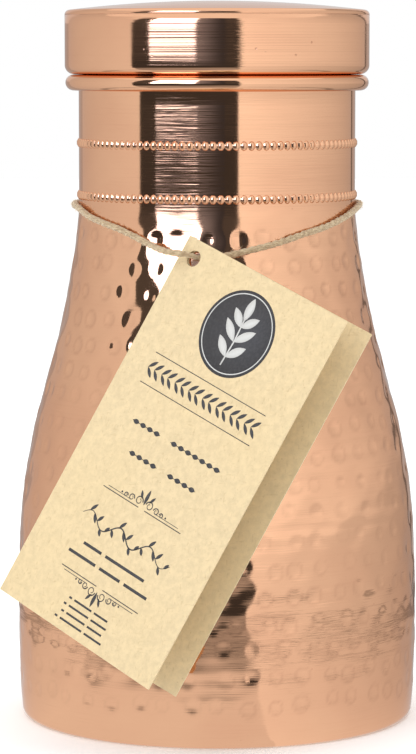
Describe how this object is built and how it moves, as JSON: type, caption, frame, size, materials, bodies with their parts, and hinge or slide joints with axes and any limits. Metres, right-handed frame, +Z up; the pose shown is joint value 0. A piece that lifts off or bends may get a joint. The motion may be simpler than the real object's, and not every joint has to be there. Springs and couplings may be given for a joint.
{
  "type": "copper water bottle",
  "caption": "Round copper water bottle with a flared, hammered belly, beaded neck, rolled lip, push-in lid, and a folded card tag tied on with twine.",
  "frame": {"origin": "centre of the foot, on the surface that the bottle stands on", "axes": "+Z up along the bottle's axis, -Y towards the front, where the tag hangs, +X to the right seen from the front"},
  "size_m": [0.1143, 0.1388, 0.2],
  "materials": {
    "copper": "polished, hand hammered on the belly and turned on the neck and lid",
    "lip_wire_copper": "drawn wire, dull",
    "seal": "matt silicone",
    "twine": "plied jute",
    "card": "uncoated kraft card"
  },
  "bodies": {
    "bottle": {"body_shell": "copper", "base_plate": "copper", "lip_wire": "lip_wire_copper", "upper_bead_band": "copper", "lower_bead_band": "copper"},
    "seal": {"lid_seal": "seal"},
    "lid": {"lid_top": "copper", "lid_wall": "copper", "lid_plug": "copper", "lid_floor": "copper"},
    "twine": {"twine_loop": "twine", "twine_knot": "twine"},
    "tag_back": {"tag_back_leaf": "card"},
    "tag_front": {"tag_front_leaf": "card"}
  },
  "joints": [
    {"name": "lid_lift", "type": "slide", "parent": "bottle", "child": "seal", "axis": [0, 0, 1], "range_m": [0, 0.06]},
    {"name": "lid_turn", "type": "hinge", "parent": "seal", "child": "lid", "pos_m": [0, 0, 0.17], "axis": [0, 0, 1], "continuous": true},
    {"name": "loop_turn", "type": "hinge", "parent": "bottle", "child": "twine", "pos_m": [0, 0, 0.1436], "axis": [0, 0, 1], "continuous": true},
    {"name": "tag_swing", "type": "hinge", "parent": "twine", "child": "tag_back", "pos_m": [-0.00555, -0.04214, 0.1304], "axis": [-0.3713, -0.8964, 0.2419], "range_deg": [-20, 20]},
    {"name": "leaf_open", "type": "hinge", "parent": "tag_back", "child": "tag_front", "pos_m": [-0.0093, -0.04031, 0.13234], "axis": [-0.4744, -0.0408, -0.8794], "range_deg": [-12, 16], "stiffness_Nm_per_rad": 0.006}
  ]
}
